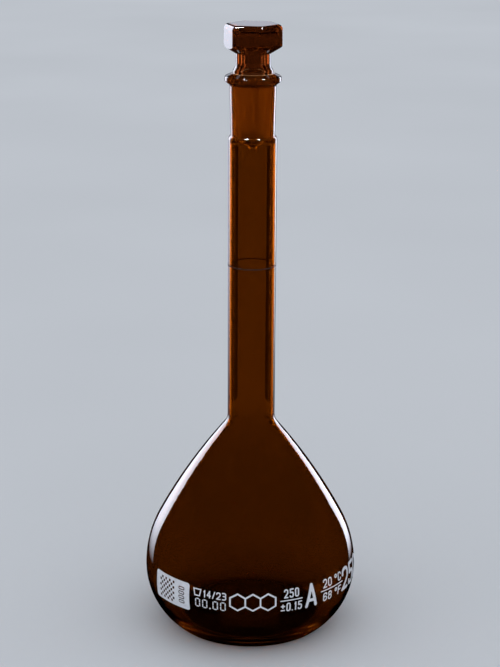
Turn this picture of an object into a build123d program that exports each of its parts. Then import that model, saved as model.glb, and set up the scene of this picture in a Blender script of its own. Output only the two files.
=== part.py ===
from build123d import *
from math import asin, atan2, cos, degrees, radians, sin, tan
import os

# Amber one-mark volumetric flask, 250 ml, with a hollow hexagon-head ground stopper.
# Origin: centre of the foot, on the plane the flask stands on. +Z runs up the neck.
# The fired-on enamel marks face -Y. Millimetres.

# ---- bulb, outside ----
BULB_RADIUS = 40.5
BULB_WIDEST_Z = 22.5
FOOT_RADIUS = 28.5
HEEL_RADIUS = 2.3
FOOT_RING_RADIUS = 25.0
PUSH_UP = 1.0
LOWER_SHOULDER_RADIUS = 41.5
LOWER_SHOULDER_ANGLE = 27.9
UPPER_SHOULDER_RADIUS = 219.0
NECK_FILLET_RADIUS = 5.5
INNER_NECK_FILLET_RADIUS = 3.5

# ---- glass thickness ----
BULB_WALL = 1.15
FOOT_WALL = 1.5
NECK_WALL = 1.3
INNER_HEEL_RADIUS = 3.5
INNER_FOOT_INSET = 2.0

# ---- neck, socket and rim ----
NECK_RADIUS = 8.9
RIM_Z = 212.8
RIM_RADIUS = 10.25
RIM_HEIGHT = 4.1
SHOULDER_Z = 189.6
SHOULDER_RADIUS = 1.8
INNER_SHOULDER_Z = 188.2
SOCKET_TOP_RADIUS = 8.45
SOCKET_FOOT_RADIUS = 8.05

# ---- 14/23 ground joint: large diameter 14.5, length 23, taper 1 in 10 on the diameter ----
JOINT_LARGE_RADIUS = 7.25
JOINT_LENGTH = 23.0
JOINT_TAPER = 0.05
JOINT_CLEARANCE = 0.03

# ---- stopper ----
CONE_STANDS_OUT = 1.0
STEM_RADIUS = 6.35
STEM_TOP_Z = 219.9
HEAD_ACROSS_FLATS = 19.0
HEAD_CORNER_RADIUS = 1.8
HEAD_EDGE_RADIUS = 1.8
HEAD_TURN = 10.5
HEAD_TOP_Z = 230.4
HEAD_UNDERSIDE_ANGLE = 31.0
HEAD_WALL = 2.0
STOPPER_WALL = 1.5
STEM_BORE_RADIUS = 3.4
STOPPER_TIP_Z = 184.8
STOPPER_TIP_RADIUS = 1.6

# ---- marks ----
ENAMEL = 0.08
RING_MARK_Z = 142.0
RING_MARK_WIDTH = 0.4
MARKS_Z = 23.6
DEGREES_PER_MM = degrees(1.0 / BULB_RADIUS)


def arc(centre, radius, start, end):
    """Arc about centre, from one angle to another in degrees."""
    return CenterArc(centre, radius, start, end - start)


def spin(edges):
    """Solid of revolution of a closed (radius, height) outline about Z."""
    return revolve(Plane.XZ * make_face(list(edges)), Axis.Z, 360)


def bulb_arcs(widest, foot, heel, floor, lower, upper, fillet, neck):
    """Tangent arcs from the foot's edge up to the neck, and the height where the neck starts.

    The side arc below the widest point is the one that is tangent to both the heel arc
    and the vertical at the widest point.
    """
    across = widest - foot
    rise = BULB_WIDEST_Z - floor - heel
    side = (across**2 + rise**2 - heel**2) / (2 * (across - heel))
    side_centre = (widest - side, BULB_WIDEST_Z)
    heel_centre = (foot, floor + heel)
    heel_end = degrees(atan2(heel_centre[1] - side_centre[1], heel_centre[0] - side_centre[0]))

    lower_centre = (widest - lower, BULB_WIDEST_Z)
    bend = radians(LOWER_SHOULDER_ANGLE)
    upper_centre = (
        lower_centre[0] - (upper - lower) * cos(bend),
        lower_centre[1] - (upper - lower) * sin(bend),
    )
    fillet_x = neck + fillet
    reach = fillet_x - upper_centre[0]
    climb = ((upper + fillet) ** 2 - reach**2) ** 0.5
    fillet_centre = (fillet_x, upper_centre[1] + climb)
    upper_end = degrees(atan2(climb, reach))

    edges = [
        arc(heel_centre, heel, -90, heel_end),
        arc(side_centre, side, heel_end, 0),
        arc(lower_centre, lower, 0, LOWER_SHOULDER_ANGLE),
        arc(upper_centre, upper, LOWER_SHOULDER_ANGLE, upper_end),
        arc(fillet_centre, fillet, upper_end + 180, 180),
    ]
    return edges, fillet_centre[1], side


def dome(radius, edge_z, height):
    """Shallow arc from the axis down to (radius, edge_z)."""
    sphere = (radius**2 + height**2) / (2 * height)
    edge_angle = 90 - degrees(asin(radius / sphere))
    return arc((0, edge_z + height - sphere), sphere, 90, edge_angle)


def joint_radius(z):
    """Radius of the ground joint's cone at height z."""
    return JOINT_LARGE_RADIUS - (RIM_Z - z) * JOINT_TAPER


def flask_body():
    joint_bottom = RIM_Z - JOINT_LENGTH
    neck_bore = NECK_RADIUS - NECK_WALL
    rim_bottom = RIM_Z - RIM_HEIGHT

    outside, neck_start, _ = bulb_arcs(
        BULB_RADIUS, FOOT_RADIUS, HEEL_RADIUS, 0.0,
        LOWER_SHOULDER_RADIUS, UPPER_SHOULDER_RADIUS, NECK_FILLET_RADIUS, NECK_RADIUS,
    )
    inside, bore_start, _ = bulb_arcs(
        BULB_RADIUS - BULB_WALL, FOOT_RADIUS - INNER_FOOT_INSET, INNER_HEEL_RADIUS, FOOT_WALL,
        LOWER_SHOULDER_RADIUS - BULB_WALL, UPPER_SHOULDER_RADIUS - BULB_WALL,
        INNER_NECK_FILLET_RADIUS, neck_bore,
    )
    socket_outside = FilletPolyline(
        (NECK_RADIUS, neck_start),
        (NECK_RADIUS, SHOULDER_Z),
        (SOCKET_FOOT_RADIUS, SHOULDER_Z + 0.7),
        (SOCKET_TOP_RADIUS, rim_bottom),
        (RIM_RADIUS, rim_bottom + 1.3),
        (RIM_RADIUS, RIM_Z - 1.1),
        (JOINT_LARGE_RADIUS + 0.6, RIM_Z),
        (JOINT_LARGE_RADIUS, RIM_Z),
        radius=[SHOULDER_RADIUS, 0.4, 0.9, 0.6, 0.7, 0.3],
    )
    socket_inside = FilletPolyline(
        (JOINT_LARGE_RADIUS, RIM_Z),
        (joint_radius(joint_bottom), joint_bottom),
        (neck_bore, INNER_SHOULDER_Z),
        (neck_bore, bore_start),
        radius=[0.8, SHOULDER_RADIUS],
    )
    outline = [
        dome(FOOT_RING_RADIUS, 0.0, PUSH_UP),
        Line((FOOT_RING_RADIUS, 0), (FOOT_RADIUS, 0)),
        *outside,
        *socket_outside.edges(),
        *socket_inside.edges(),
        *inside,
        dome(FOOT_RADIUS - INNER_FOOT_INSET, FOOT_WALL, PUSH_UP),
        Line((0, PUSH_UP), (0, FOOT_WALL + PUSH_UP)),
    ]
    return spin(outline)


def stopper_shank():
    """Stem, ground cone and closed lower end, reaching up into the head."""
    cone_top = RIM_Z + CONE_STANDS_OUT
    cone_bottom = RIM_Z - JOINT_LENGTH
    top_radius = joint_radius(cone_top) - JOINT_CLEARANCE
    bottom_radius = joint_radius(cone_bottom) - JOINT_CLEARANCE
    return spin([
        Line((0, STEM_TOP_Z + 2), (0, STOPPER_TIP_Z)),
        *FilletPolyline(
            (0, STOPPER_TIP_Z),
            (STOPPER_TIP_RADIUS, STOPPER_TIP_Z),
            (STOPPER_TIP_RADIUS + 0.1, STOPPER_TIP_Z + 1.9),
            (3.4, cone_bottom - 1.0),
            (bottom_radius, cone_bottom - 0.4),
            (bottom_radius + 0.02, cone_bottom),
            (top_radius, cone_top),
            (STEM_RADIUS, cone_top + 1.6),
            (STEM_RADIUS, STEM_TOP_Z + 2),
            (0, STEM_TOP_Z + 2),
            radius=[1.2, 0.6, 0.8, 0.3, 0.0, 0.5, 1.2, 0.0],
        ).edges(),
    ])


def stopper_cavity():
    """Sealed hollow of the cone and the stem, round-ended at the bottom and open into the head's hollow."""
    cone_bottom = RIM_Z - JOINT_LENGTH
    low = cone_bottom + STOPPER_WALL
    return spin([
        Line((0, STEM_TOP_Z + 2), (0, low)),
        *FilletPolyline(
            (0, low),
            (joint_radius(low) - STOPPER_WALL, low),
            (joint_radius(RIM_Z - 2) - STOPPER_WALL, RIM_Z - 2),
            (STEM_BORE_RADIUS, RIM_Z + 3),
            (STEM_BORE_RADIUS, STEM_TOP_Z + 2),
            (0, STEM_TOP_Z + 2),
            radius=[2.5, 2.0, 2.0, 0.0],
        ).edges(),
    ])


def grip(inset, stem):
    """Hexagonal grip turned to a cone underneath, set in by a wall and narrowing to the stem's radius."""
    flat = HEAD_ACROSS_FLATS / 2 - inset
    top = HEAD_TOP_Z - inset
    slope = radians(HEAD_UNDERSIDE_ANGLE)
    foot = STEM_TOP_Z + inset / cos(slope) - (STEM_RADIUS - stem) * tan(slope)
    hexagon = RegularPolygon(flat, 6, major_radius=False)
    hexagon = fillet(hexagon.vertices(), HEAD_CORNER_RADIUS + inset)
    prism = extrude(Pos(0, 0, foot) * hexagon, top - foot)
    prism = fillet(prism.faces().sort_by(Axis.Z)[-1].edges(), HEAD_EDGE_RADIUS)
    reach = flat / cos(radians(30))
    blank = spin([
        Line((0, top), (0, foot)),
        *FilletPolyline(
            (0, foot),
            (stem, foot),
            (reach, foot + (reach - stem) * tan(slope)),
            (reach, top),
            (0, top),
            radius=[0.0, 2.5, 0.0],
        ).edges(),
    ])
    return Rot(Z=-HEAD_TURN) * (prism & blank)


def stopper():
    outside = grip(0, STEM_RADIUS) + stopper_shank()
    inside = grip(HEAD_WALL, STEM_BORE_RADIUS) + stopper_cavity()
    return outside - inside


def ring_mark():
    low = RING_MARK_Z - RING_MARK_WIDTH / 2
    high = RING_MARK_Z + RING_MARK_WIDTH / 2
    skin = NECK_RADIUS + ENAMEL
    outline = Polyline((NECK_RADIUS, low), (skin, low), (skin, high), (NECK_RADIUS, high), close=True)
    return spin(outline.edges())


def enamel_patch():
    """Thin skin on the widest part of the bulb, facing -Y, that every mark is cut from."""
    _, _, side = bulb_arcs(
        BULB_RADIUS, FOOT_RADIUS, HEEL_RADIUS, 0.0,
        LOWER_SHOULDER_RADIUS, UPPER_SHOULDER_RADIUS, NECK_FILLET_RADIUS, NECK_RADIUS,
    )
    below = (BULB_RADIUS - side, BULB_WIDEST_Z)
    above = (BULB_RADIUS - LOWER_SHOULDER_RADIUS, BULB_WIDEST_Z)
    low, high, spread = -20, 15, 40
    inner = [arc(below, side, low, 0), arc(above, LOWER_SHOULDER_RADIUS, 0, high)]
    outer = [arc(below, side + ENAMEL, low, 0), arc(above, LOWER_SHOULDER_RADIUS + ENAMEL, 0, high)]
    ends = [Line(inner[0] @ 0, outer[0] @ 0), Line(inner[1] @ 1, outer[1] @ 1)]
    face = Plane.XZ * make_face(inner + outer + ends)
    return Rot(Z=-90 - spread / 2) * revolve(face, Axis.Z, spread)


def fire_on(sketch, azimuth):
    """Press a flat sketch (x across, y up from the foot) onto the bulb at an azimuth."""
    prism = extrude(Plane.XZ.offset(BULB_RADIUS - 8) * sketch, 12)
    return [Rot(Z=azimuth) * solid for solid in (prism & PATCH).solids()]


def pen_stroke(path, pen):
    """Line of the pen's width along a path, with round ends."""
    caps = [Pos(*(path @ end)) * Circle(pen / 2) for end in (0, 1)]
    return trace(path, pen) + caps


def loop(a, low, high):
    """Closed oval track from low to high, half-width a."""
    bend = 0.9 * min(a, (high - low) / 2)
    return FilletPolyline((-a, low), (a, low), (a, high), (-a, high), radius=bend, close=True)


def glyph_paths(character, a, b):
    """Pen paths of one character inside the box -a..a by -b..b."""
    bend = min(0.9 * a, 0.42 * b)
    waist = 0.08 * b
    hook = 0.5 * a
    tail = 1.15 * bend
    tip = 1.5 * hook
    paths = {
        "0": [loop(a, -b, b)],
        "1": [Line((0.3 * a, b), (0.3 * a, -b)), Line((0.3 * a, b), (-0.7 * a, 0.55 * b))],
        "2": [
            FilletPolyline((-a, b - tail), (-a, b), (a, b), (a, waist), (-a, -b), radius=bend),
            Line((-a, -b), (a, -b)),
        ],
        "3": [
            FilletPolyline((-0.9 * a, b), (a, b), (a, waist), (-0.4 * a, waist), radius=bend),
            FilletPolyline((-0.4 * a, waist), (a, waist), (a, -b), (-0.9 * a, -b), radius=bend),
        ],
        "4": [
            Line((0.4 * a, -b), (0.4 * a, b)),
            Line((0.4 * a, b), (-a, -0.4 * b)),
            Line((-a, -0.4 * b), (a, -0.4 * b)),
        ],
        "5": [
            Line((a, b), (-0.85 * a, b)),
            Line((-0.85 * a, b), (-0.85 * a, 0.15 * b)),
            FilletPolyline(
                (-0.85 * a, 0.15 * b), (a, 0.25 * b), (a, -b), (-a, -b), (-a, tip - b),
                radius=[bend, bend, hook],
            ),
        ],
        "6": [
            loop(a, -b, 2 * waist),
            FilletPolyline((-a, -0.4 * b), (-a, b), (a, b), (a, b - tip), radius=[bend, hook]),
        ],
        "8": [loop(0.9 * a, waist, b), loop(a, -b, waist)],
        "/": [Line((-a, -b), (a, b))],
        ".": [Line((0, -b), (0, 0.01 - b))],
        "±": [
            Line((-a, 0.3 * b), (a, 0.3 * b)),
            Line((0, 0.3 * b - a), (0, 0.3 * b + a)),
            Line((-a, -0.8 * b), (a, -0.8 * b)),
        ],
        "°": [loop(a, b - 2 * a, b)],
        "A": [
            Line((-a, -b), (0, b)),
            Line((a, -b), (0, b)),
            Line((-0.7 * a, -0.45 * b), (0.7 * a, -0.45 * b)),
        ],
        "C": [
            FilletPolyline(
                (a, b - tail), (a, b), (-a, b), (-a, -b), (a, -b), (a, tail - b),
                radius=bend,
            )
        ],
        "F": [Line((-a, -b), (-a, b)), Line((-a, b), (a, b)), Line((-a, waist), (0.7 * a, waist))],
        "m": [
            FilletPolyline((-a, -b), (-a, 0.3 * b), (0, 0.3 * b), (0, -b), radius=0.45 * a),
            FilletPolyline((0, -b), (0, 0.3 * b), (a, 0.3 * b), (a, -b), radius=0.45 * a),
        ],
        "l": [Line((0, -b), (0, b))],
    }
    return paths[character]


# Width of each character that isn't as wide as a full figure.
NARROW = {"1": 0.62, "/": 0.7, ".": 0.25, "l": 0.25, "°": 0.75, "m": 1.5, " ": 0.3}


def glyph(character, width, height, pen):
    """One character as a flat sketch, centred on the origin."""
    a = (width * NARROW.get(character, 1.0) - pen) / 2
    b = (height - pen) / 2
    a = max(a, 0.01)
    shape = Sketch()
    for path in glyph_paths(character, a, b):
        shape += trace(path, pen) if path.is_closed else pen_stroke(path, pen)
    return shape


def figures(text, azimuth, middle_z, width, height, pen, gap):
    """A line of characters centred at an azimuth, each pressed on straight from outside."""
    widths = [width * NARROW.get(character, 1.0) for character in text]
    start = -(sum(widths) + gap * (len(text) - 1)) / 2
    solids = []
    for character, own_width in zip(text, widths):
        middle = start + own_width / 2
        start += own_width + gap
        if character != " ":
            flat = Pos(0, middle_z) * glyph(character, width, height, pen)
            solids += fire_on(flat, azimuth + middle * DEGREES_PER_MM)
    return solids


def capacity_mark():
    capacity = figures("250", 72.0, MARKS_Z, 5.4, 9.4, 1.25, 0.9)
    return capacity + figures("ml", 93.0, MARKS_Z, 5.0, 9.4, 1.1, 1.0)


def class_mark():
    return figures("A", 34.4, 23.5, 5.4, 9.6, 1.2, 0)


def fraction(top, bottom, azimuth, width, gap, bar_length):
    """Two lines of characters with a bar between them."""
    bar = Pos(0, 23.5) * RectangleRounded(bar_length, 0.4, 0.15)
    return (
        figures(top, azimuth, 26.2, width, 3.5, 0.5, gap)
        + fire_on(bar, azimuth)
        + figures(bottom, azimuth, 20.8, width, 3.5, 0.5, gap)
    )


def tolerance_mark():
    return fraction("250", "±0.15", 22.4, 1.7, 0.5, 9.0)


def temperature_mark():
    return fraction("20 °C", "68 °F", 50.3, 2.1, 0.6, 13.4)


def joint_size_mark():
    """A small tapered plug, then the joint's size."""
    plug = Polyline((-1.5, 26.7), (1.5, 26.7), (1.0, 24.2), (-1.0, 24.2), close=True)
    return fire_on(trace(plug, 0.45), -29.0) + figures("14/23", -19.0, 25.4, 1.75, 2.9, 0.45, 0.4)


def batch_mark():
    """Plain zeros drawn as separate bars, with a point between the pairs."""
    half_width, half_height, pen, notch = 0.85, 1.55, 0.4, 0.12
    bars = Sketch()
    for side in (-1, 1):
        bars += Pos(0, side * half_height) * Rectangle(2 * (half_width - notch) - pen, pen)
        for level in (-1, 1):
            upright = Rectangle(pen, half_height - 2 * notch)
            bars += Pos(side * half_width, level * half_height / 2) * upright
    solids = []
    for place in (-5.1, -2.1, 2.1, 5.1):
        solids += fire_on(Pos(0, 21.4) * bars, -21.5 + place * DEGREES_PER_MM)
    return solids + fire_on(Pos(0, 21.4 - half_height) * Circle(0.32), -21.5)


def emblem():
    """Three hexagons side by side, joined along their edges."""
    size, pen = 3.6, 0.7
    pitch = size * 2 * cos(radians(30))
    rows = Sketch()
    for place in (-1, 0, 1):
        ring = RegularPolygon(size, 6, rotation=30) - RegularPolygon(size - pen, 6, rotation=30)
        rows += Pos(place * (pitch - pen * cos(radians(30))), MARKS_Z) * ring
    return fire_on(rows, 1.5)


def code_panel():
    """White panel with a checked square and a row of zeros left clear in it."""
    plate = Pos(0, 22.4) * RectangleRounded(18.6, 11.0, 1.1)
    cells, pitch = 8, 1.1
    centre_x, centre_z = -2.4, 22.4
    for row in range(cells):
        for column in range(row % 2, cells, 2):
            x = centre_x + (column - (cells - 1) / 2) * pitch
            z = centre_z + (row - (cells - 1) / 2) * pitch
            plate -= Pos(x, z) * Rectangle(0.92 * pitch, 0.92 * pitch)
    for place in range(4):
        z = centre_z + (place - 1.5) * 1.8
        plate -= Pos(5.6, z) * Rot(Z=90) * glyph("0", 1.4, 2.9, 0.4)
    return fire_on(plate, -47.3)


PATCH = enamel_patch()

NODES = {
    "flask_body": flask_body,
    "stopper": stopper,
    "ring_mark": ring_mark,
    "capacity_mark": capacity_mark,
    "temperature_mark": temperature_mark,
    "class_mark": class_mark,
    "tolerance_mark": tolerance_mark,
    "emblem": emblem,
    "joint_size_mark": joint_size_mark,
    "batch_mark": batch_mark,
    "code_panel": code_panel,
}

os.makedirs("parts", exist_ok=True)
for name, make in NODES.items():
    shape = make()
    export_step(Compound(children=shape) if isinstance(shape, list) else shape, f"parts/{name}.step")
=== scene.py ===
from math import cos, radians, sin

import bpy
from mathutils import Matrix, Vector

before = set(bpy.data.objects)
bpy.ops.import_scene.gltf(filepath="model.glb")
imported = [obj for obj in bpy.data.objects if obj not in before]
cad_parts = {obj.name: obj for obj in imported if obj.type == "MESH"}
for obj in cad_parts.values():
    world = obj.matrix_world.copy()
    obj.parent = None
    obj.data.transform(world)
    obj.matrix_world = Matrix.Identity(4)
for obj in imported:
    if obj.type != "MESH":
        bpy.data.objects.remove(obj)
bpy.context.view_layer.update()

MM = 0.001

# Camera, from the solved view: a long lens a little above the flask, looking 17 degrees down
CAMERA_PLACE = (-0.00058, -0.62775, 0.30597)
CAMERA_PITCH = radians(16.92)
CAMERA_ROLL = radians(0.33)
CAMERA_LENS = 94.37
CAMERA_SENSOR = 36.0

# Amber stain fired into the outer skin of the glass: what two crossings of it let through
NECK_STAIN = (0.118, 0.0225, 0.0006)
BULB_STAIN = (0.076, 0.0150, 0.0006)
STOPPER_STAIN = (0.055, 0.0100, 0.0015)
# The socket's skin is lighter than the neck's: painted light, standing in for light scattered through the
# frosted joint.
SOCKET_STAIN_AND_PAINTED_LIGHT = (0.165, 0.0280, 0.0008)
COLLAR_STAIN = (0.072, 0.0125, 0.0010)
STOPPER_STAIN_THIN = (0.070, 0.0125, 0.0020)
CLEAR = (0.96, 0.95, 0.93)

# Heights where the stain changes or stops
FOOT_UNDERSIDE_BELOW = 1.25 * MM
BLOWN_BELOW = 72 * MM
# Above this height the skin is lightened with painted light on the socket.
SOCKET_ABOVE = 190 * MM
COLLAR_ABOVE = 208.7 * MM
STOPPER_STAIN_ABOVE = 213.0 * MM
HEAD_TOP_ABOVE = 229.9 * MM

# Ground glass of the taper joint, between these heights
GROUND_BOTTOM = 189.8 * MM
GROUND_TOP = 212.8 * MM
SOCKET_GROUND_RADIUS = 7.35 * MM
GROUND_SMOOTHEST = 0.42
GROUND_ROUGHEST = 0.55

# Surfaces of the glass and the fired-on layers
GLASS_IOR = 1.49
DRAWN_WAVE_DEPTH = 0.004 * MM
GRAIN_DEPTH = 0.01 * MM

# Studio
FLOOR_HALF = 6.0
SKY_COLOUR = (0.93, 0.96, 1.0)
LAMP_COLOUR = (0.82, 0.86, 1.0)
RIM_LIGHT_DISTANCE = 6.0
NECK_STRIP_DISTANCE = 0.16
NECK_FLAG_DISTANCE = 0.15
SEEN_ONLY_THROUGH = ("glossy",)
SEEN_ONLY_MIRRORED = ("transmission",)


# ---------------------------------------------------------------- node helpers


def new_material(name):
    """A node material holding only a Principled shader and its output."""
    material = bpy.data.materials.new(name)
    material.use_nodes = True
    tree = material.node_tree
    tree.nodes.clear()
    output = tree.nodes.new("ShaderNodeOutputMaterial")
    shader = tree.nodes.new("ShaderNodeBsdfPrincipled")
    tree.links.new(shader.outputs["BSDF"], output.inputs["Surface"])
    return material, tree, shader


def node(tree, kind, **settings):
    """A node of that kind, with its own properties set."""
    made = tree.nodes.new(kind)
    for name, value in settings.items():
        setattr(made, name, value)
    return made


def noise(tree, place, scale, detail=2.0, roughness=0.5):
    """Noise over the object, with the scale in waves per metre."""
    made = node(tree, "ShaderNodeTexNoise")
    made.inputs["Scale"].default_value = scale
    made.inputs["Detail"].default_value = detail
    made.inputs["Roughness"].default_value = roughness
    tree.links.new(place, made.inputs["Vector"])
    return made.outputs["Fac"]


def object_place(tree, stretch=(1, 1, 1)):
    """Where a point is on the object, in metres, stretched along each axis."""
    place = node(tree, "ShaderNodeTexCoord").outputs["Object"]
    mapping = node(tree, "ShaderNodeMapping")
    mapping.inputs["Scale"].default_value = stretch
    tree.links.new(place, mapping.inputs["Vector"])
    return mapping.outputs["Vector"]


def remap(tree, value, low, high, out_low, out_high):
    """value stretched from low..high to out_low..out_high, and held there."""
    made = node(tree, "ShaderNodeMapRange", clamp=True)
    made.inputs["From Min"].default_value = low
    made.inputs["From Max"].default_value = high
    made.inputs["To Min"].default_value = out_low
    made.inputs["To Max"].default_value = out_high
    tree.links.new(value, made.inputs["Value"])
    return made.outputs["Result"]


def maths(tree, operation, first, second):
    """One sum, whose two sides may each be a number or a socket."""
    made = node(tree, "ShaderNodeMath", operation=operation)
    for socket, value in zip(made.inputs, (first, second)):
        if isinstance(value, (int, float)):
            socket.default_value = value
        else:
            tree.links.new(value, socket)
    return made.outputs["Value"]


def bump(tree, height, depth, normal=None):
    """Relief of that depth in metres from a height of 0 to 1."""
    made = node(tree, "ShaderNodeBump")
    made.inputs["Strength"].default_value = 1.0
    made.inputs["Distance"].default_value = depth
    tree.links.new(height, made.inputs["Height"])
    if normal is not None:
        tree.links.new(normal, made.inputs["Normal"])
    return made.outputs["Normal"]


# ---------------------------------------------------------------- materials


def height_of(tree):
    """A point's height above the foot."""
    parts = node(tree, "ShaderNodeSeparateXYZ")
    tree.links.new(node(tree, "ShaderNodeTexCoord").outputs["Object"], parts.inputs["Vector"])
    return parts.outputs["Z"]


def from_axis(tree):
    """The level line from the flask's axis to a point."""
    level = node(tree, "ShaderNodeVectorMath", operation="MULTIPLY")
    level.inputs[1].default_value = (1, 1, 0)
    tree.links.new(node(tree, "ShaderNodeTexCoord").outputs["Object"], level.inputs[0])
    return level.outputs["Vector"]


def radius_of(tree):
    """A point's distance from the flask's axis."""
    length = node(tree, "ShaderNodeVectorMath", operation="LENGTH")
    tree.links.new(from_axis(tree), length.inputs[0])
    return length.outputs["Value"]


def step_up(tree, value, edge, softness):
    """0 below the edge and 1 above it."""
    return remap(tree, value, edge - softness, edge + softness, 0, 1)


def step_down(tree, value, edge, softness):
    """1 below the edge and 0 above it."""
    return remap(tree, value, edge - softness, edge + softness, 1, 0)


def outward(tree):
    """1 on faces turned away from the flask's axis, 0 on the faces of its bore and hollows."""
    geometry = node(tree, "ShaderNodeNewGeometry")
    away = node(tree, "ShaderNodeVectorMath", operation="NORMALIZE")
    tree.links.new(from_axis(tree), away.inputs[0])
    lean = node(tree, "ShaderNodeVectorMath", operation="DOT_PRODUCT")
    tree.links.new(away.outputs["Vector"], lean.inputs[0])
    tree.links.new(geometry.outputs["True Normal"], lean.inputs[1])
    side = maths(tree, "SUBTRACT", 1, maths(tree, "MULTIPLY", 2, geometry.outputs["Backfacing"]))
    return step_up(tree, maths(tree, "MULTIPLY", lean.outputs["Value"], side), 0.03, 0.01)


def mixed(tree, factor, first, second):
    """A colour between two, each a plain colour or a socket."""
    made = node(tree, "ShaderNodeMix", data_type="RGBA")
    tree.links.new(factor, made.inputs["Factor"])
    for name, colour in (("A", first), ("B", second)):
        if isinstance(colour, tuple):
            made.inputs[name].default_value = (*colour, 1)
        else:
            tree.links.new(colour, made.inputs[name])
    return made.outputs["Result"]


def glass(name, stained, ground, stain):
    """Clear glass with an amber skin where stained() says, frosted where ground() says."""
    material, tree, shader = new_material(name)
    shader.inputs["IOR"].default_value = GLASS_IOR
    shader.inputs["Transmission Weight"].default_value = 1.0
    tree.links.new(mixed(tree, stained(tree), CLEAR, stain(tree)), shader.inputs["Base Color"])
    frosted = ground(tree)
    smear = remap(tree, noise(tree, object_place(tree), 90, 3), 0.45, 0.75, 0.0, 0.02)
    grain = noise(tree, object_place(tree), 6000, 2)
    grit = remap(tree, grain, 0.3, 0.7, GROUND_SMOOTHEST, GROUND_ROUGHEST)
    rough = maths(tree, "ADD", maths(tree, "MULTIPLY", frosted, grit), smear)
    tree.links.new(rough, shader.inputs["Roughness"])
    drawn = noise(tree, object_place(tree, (1, 1, 0.25)), 60, 1)
    waves = bump(tree, drawn, DRAWN_WAVE_DEPTH)
    rubbed = maths(tree, "MULTIPLY", frosted, grain)
    tree.links.new(bump(tree, rubbed, GRAIN_DEPTH, waves), shader.inputs["Normal"])
    return material


def flask_stain(tree):
    """The skin's colour: deeper on the blown bulb and the collar, cloudy, and lighter on the socket,
    where the lightening is painted light standing in for light scattered through the frosted joint.
    """
    height = height_of(tree)
    blown = step_down(tree, height, BLOWN_BELOW, 15 * MM)
    cloudy = remap(tree, noise(tree, object_place(tree), 45, 2), 0.3, 0.7, -0.15, 0.15)
    colour = mixed(tree, maths(tree, "ADD", blown, cloudy), NECK_STAIN, BULB_STAIN)
    # Lighter skin on the socket: painted light for the light scattered through the frosted joint.
    colour = mixed(tree, step_up(tree, height, SOCKET_ABOVE, 1 * MM), colour, SOCKET_STAIN_AND_PAINTED_LIGHT)
    return mixed(tree, step_up(tree, height, COLLAR_ABOVE, 0.4 * MM), colour, COLLAR_STAIN)


def stopper_stain(tree):
    """The stopper's colour, a little cloudy."""
    cloudy = remap(tree, noise(tree, object_place(tree), 90, 2), 0.3, 0.7, 0, 1)
    return mixed(tree, cloudy, STOPPER_STAIN, STOPPER_STAIN_THIN)


def flask_outside(tree):
    """1 on the flask's outer skin and the underside of its foot."""
    under = step_down(tree, height_of(tree), FOOT_UNDERSIDE_BELOW, 0.05 * MM)
    return maths(tree, "MAXIMUM", outward(tree), under)


def stopper_outside(tree):
    """1 on the stopper's stem and head, which stand above the ground cone."""
    height = height_of(tree)
    top = step_up(tree, height, HEAD_TOP_ABOVE, 0.1 * MM)
    above = step_up(tree, height, STOPPER_STAIN_ABOVE, 0.1 * MM)
    return maths(tree, "MULTIPLY", maths(tree, "MAXIMUM", outward(tree), top), above)


def socket_ground(tree):
    """1 on the ground bore of the socket."""
    inside = step_down(tree, radius_of(tree), SOCKET_GROUND_RADIUS, 0.05 * MM)
    above = step_up(tree, height_of(tree), GROUND_BOTTOM, 0.2 * MM)
    return maths(tree, "MULTIPLY", inside, above)


def cone_ground(tree):
    """1 on the ground cone of the stopper."""
    height = height_of(tree)
    above = step_up(tree, height, GROUND_BOTTOM, 0.2 * MM)
    below = step_down(tree, height, GROUND_TOP, 0.2 * MM)
    return maths(tree, "MULTIPLY", outward(tree), maths(tree, "MULTIPLY", above, below))


def fired_layer(name, darker, lighter, waves, smoothest, roughest):
    """A thin fired-on layer: blotches of that many waves per metre and a fine grain."""
    material, tree, shader = new_material(name)
    place = object_place(tree)
    blotch = remap(tree, noise(tree, place, waves, 3), 0.3, 0.7, 0, 1)
    tree.links.new(mixed(tree, blotch, darker, lighter), shader.inputs["Base Color"])
    grain = noise(tree, place, 5000, 2)
    tree.links.new(remap(tree, grain, 0.3, 0.7, smoothest, roughest), shader.inputs["Roughness"])
    tree.links.new(bump(tree, grain, GRAIN_DEPTH), shader.inputs["Normal"])
    return material


def dress(node_name, material):
    """Puts the material in every slot of a CAD node."""
    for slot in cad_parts[node_name].material_slots:
        slot.material = material


# ---------------------------------------------------------------- stage


def square(name, half):
    """A flat square about the origin, in the scene."""
    mesh = bpy.data.meshes.new(name)
    corners = [(-half, -half, 0), (half, -half, 0), (half, half, 0), (-half, half, 0)]
    mesh.from_pydata(corners, [], [(0, 1, 2, 3)])
    made = bpy.data.objects.new(name, mesh)
    bpy.context.collection.objects.link(made)
    return made


def floor():
    """A plain pale floor with a faint unevenness, not mirrored in the glass."""
    made = square("floor", FLOOR_HALF)
    material, tree, shader = new_material("pale_floor")
    shader.inputs["Roughness"].default_value = 0.9
    shader.inputs["Specular IOR Level"].default_value = 0.0
    shade = remap(tree, noise(tree, object_place(tree), 3, 2), 0.3, 0.7, 0.74, 0.78)
    tint = node(tree, "ShaderNodeCombineColor")
    tree.links.new(shade, tint.inputs["Red"])
    tree.links.new(maths(tree, "MULTIPLY", shade, 1.03), tint.inputs["Green"])
    tree.links.new(maths(tree, "MULTIPLY", shade, 1.08), tint.inputs["Blue"])
    tree.links.new(tint.outputs["Color"], shader.inputs["Base Color"])
    made.data.materials.append(material)
    made.visible_glossy = False


def sky(strength):
    """Even soft light from all around, which the glass lets through but doesn't mirror."""
    world = bpy.data.worlds.new("studio")
    world.use_nodes = True
    background = world.node_tree.nodes["Background"]
    background.inputs["Color"].default_value = (*SKY_COLOUR, 1)
    background.inputs["Strength"].default_value = strength
    world.cycles_visibility.glossy = False
    bpy.context.scene.world = world


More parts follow.
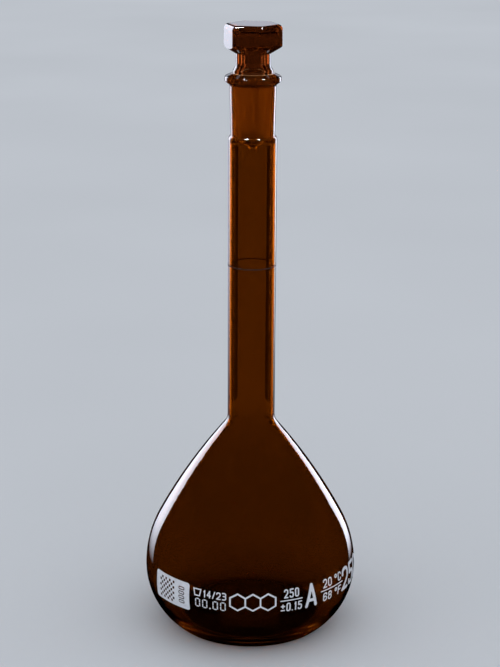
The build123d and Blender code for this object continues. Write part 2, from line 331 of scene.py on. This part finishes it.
def lamp_material(name, edge, radiance, fade):
    """Light from the front side only, rising from edge to radiance over the lowest share of a square."""
    material = bpy.data.materials.new(name)
    material.use_nodes = True
    tree = material.node_tree
    tree.nodes.clear()
    output = node(tree, "ShaderNodeOutputMaterial")
    lamp = node(tree, "ShaderNodeEmission")
    lamp.inputs["Color"].default_value = (*LAMP_COLOUR, 1)
    parts = node(tree, "ShaderNodeSeparateXYZ")
    tree.links.new(node(tree, "ShaderNodeTexCoord").outputs["Object"], parts.inputs["Vector"])
    glow = remap(tree, parts.outputs["Y"], -0.5, -0.5 + fade, edge, radiance)
    front = maths(tree, "SUBTRACT", 1, node(tree, "ShaderNodeNewGeometry").outputs["Backfacing"])
    tree.links.new(maths(tree, "MULTIPLY", glow, front), lamp.inputs["Strength"])
    tree.links.new(lamp.outputs["Emission"], output.inputs["Surface"])
    return material


def softbox(name, place, aim, width, height, radiance, edge=0.0, fade=0.1, skip=()):
    """A softbox seen only in the glass: it neither shows nor lights the floor.

    Its light rises from edge at the bottom to radiance over the share fade of its height.
    skip names the kinds of ray that don't see it.
    """
    made = square(name, 0.5)
    facing = Vector(aim) - Vector(place)
    made.location = place
    made.rotation_euler = facing.to_track_quat("Z", "Y").to_euler()
    made.scale = (width, height, 1)
    made.data.materials.append(lamp_material(name, edge, radiance, fade))
    for ray in ("camera", "diffuse", "shadow", *skip):
        setattr(made, "visible_" + ray, False)


def behind(azimuth, distance, height):
    """A place round the flask, with the azimuth measured from straight behind it towards the right."""
    turn = radians(azimuth)
    return distance * sin(turn), distance * cos(turn), height


def rim_lights():
    """Two tall softboxes far behind, and one above the stopper's head, for the bright edges."""
    left = behind(-35, RIM_LIGHT_DISTANCE, 0.49)
    softbox("rim_left", left, (0, 0, 0.49), 2.66, 5.22, 5.5, fade=0.37)
    right = behind(33.2, RIM_LIGHT_DISTANCE, 0.3)
    softbox("rim_right", right, (0, 0, 0.3), 1.75, 4.81, 5.5, fade=0.22)
    above = (0, 0.3, 0.275)
    softbox("top_strip", above, (0, 0, 0.23), 0.22, 0.08, 0.95, skip=SEEN_ONLY_MIRRORED)


def neck_lights():
    """A bright strip and a dark grey flag on each side, seen through the walls of the neck."""
    strip_height, flag_height = 0.105, 0.102
    for side, hand, glow in (("left", -1, 15.0), ("right", 1, 12.5)):
        place = behind(hand * 41.5, NECK_STRIP_DISTANCE, strip_height)
        aim = (0, 0, strip_height)
        softbox("strip_" + side, place, aim, 0.034, 0.19, glow, 4.0, 0.65, SEEN_ONLY_THROUGH)
        place = behind(hand * 21, NECK_FLAG_DISTANCE, flag_height)
        aim = (0, 0, flag_height)
        softbox("flag_" + side, place, aim, 0.064, 0.13, 0.1, 0.1, skip=SEEN_ONLY_THROUGH)


def sparks():
    """Four small high lamps, for the points of light on the head, the collar and the neck's shoulder."""
    for side, hand in (("left", -1), ("right", 1)):
        place = behind(hand * 120, 0.37, 1.08)
        softbox("spark_" + side, place, (0, 0, 0.2), 0.12, 0.12, 220.0)
        place = (hand * 0.22, 0.03, 1.19)
        softbox("high_spark_" + side, place, (0, 0, 0.21), 0.16, 0.07, 350.0, skip=SEEN_ONLY_MIRRORED)


def dark_flags():
    """Black flags above, beside and in front of the flask, seen only through the glass."""
    for side, hand in (("left", -1), ("right", 1)):
        place = (hand * 0.8, -0.2, 0.75)
        softbox("dark_" + side, place, (0, -0.2, 0.75), 2.0, 0.9, 0.0, skip=SEEN_ONLY_THROUGH)
    above = (0, -0.1, 0.6)
    softbox("dark_ceiling", above, (0, -0.1, 0), 1.6, 1.8, 0.0, skip=SEEN_ONLY_THROUGH)
    front = (0, -1.0, 0.75)
    softbox("dark_front", front, (0, 0, 0.75), 1.6, 0.9, 0.0, skip=SEEN_ONLY_THROUGH)


def camera():
    """The camera at the solved place and angle."""
    data = bpy.data.cameras.new("camera")
    data.lens = CAMERA_LENS
    data.sensor_fit = "VERTICAL"
    data.sensor_height = CAMERA_SENSOR
    data.clip_start = 0.01
    made = bpy.data.objects.new("camera", data)
    bpy.context.collection.objects.link(made)
    forward = Vector((0, cos(CAMERA_PITCH), -sin(CAMERA_PITCH)))
    up = Vector((0, sin(CAMERA_PITCH), cos(CAMERA_PITCH)))
    right = Vector((1, 0, 0))
    side = right * cos(CAMERA_ROLL) + up * sin(CAMERA_ROLL)
    top = up * cos(CAMERA_ROLL) - right * sin(CAMERA_ROLL)
    turned = Matrix((side, top, -forward)).transposed().to_4x4()
    made.matrix_world = Matrix.Translation(CAMERA_PLACE) @ turned
    bpy.context.scene.camera = made


def settings():
    """Plain colours, and enough bounces for light to pass the stopper and both walls of the neck."""
    scene = bpy.context.scene
    scene.view_settings.view_transform = "Standard"
    scene.cycles.max_bounces = 24
    scene.cycles.transmission_bounces = 24
    scene.cycles.glossy_bounces = 12


flask_glass = glass("amber_stained_glass", flask_outside, socket_ground, flask_stain)
stopper_glass = glass("amber_stained_stopper_glass", stopper_outside, cone_ground, stopper_stain)
ring_stain = fired_layer("fired_ring_stain", (0.020, 0.008, 0.010), (0.045, 0.018, 0.020), 1200, 0.5, 0.7)
enamel = fired_layer("fired_white_enamel", (0.70, 0.72, 0.78), (0.84, 0.86, 0.92), 700, 0.38, 0.55)
own_materials = {"flask_body": flask_glass, "stopper": stopper_glass, "ring_mark": ring_stain}
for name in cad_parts:
    dress(name, own_materials.get(name, enamel))

settings()
camera()
floor()
sky(0.72)
rim_lights()
neck_lights()
sparks()
dark_flags()
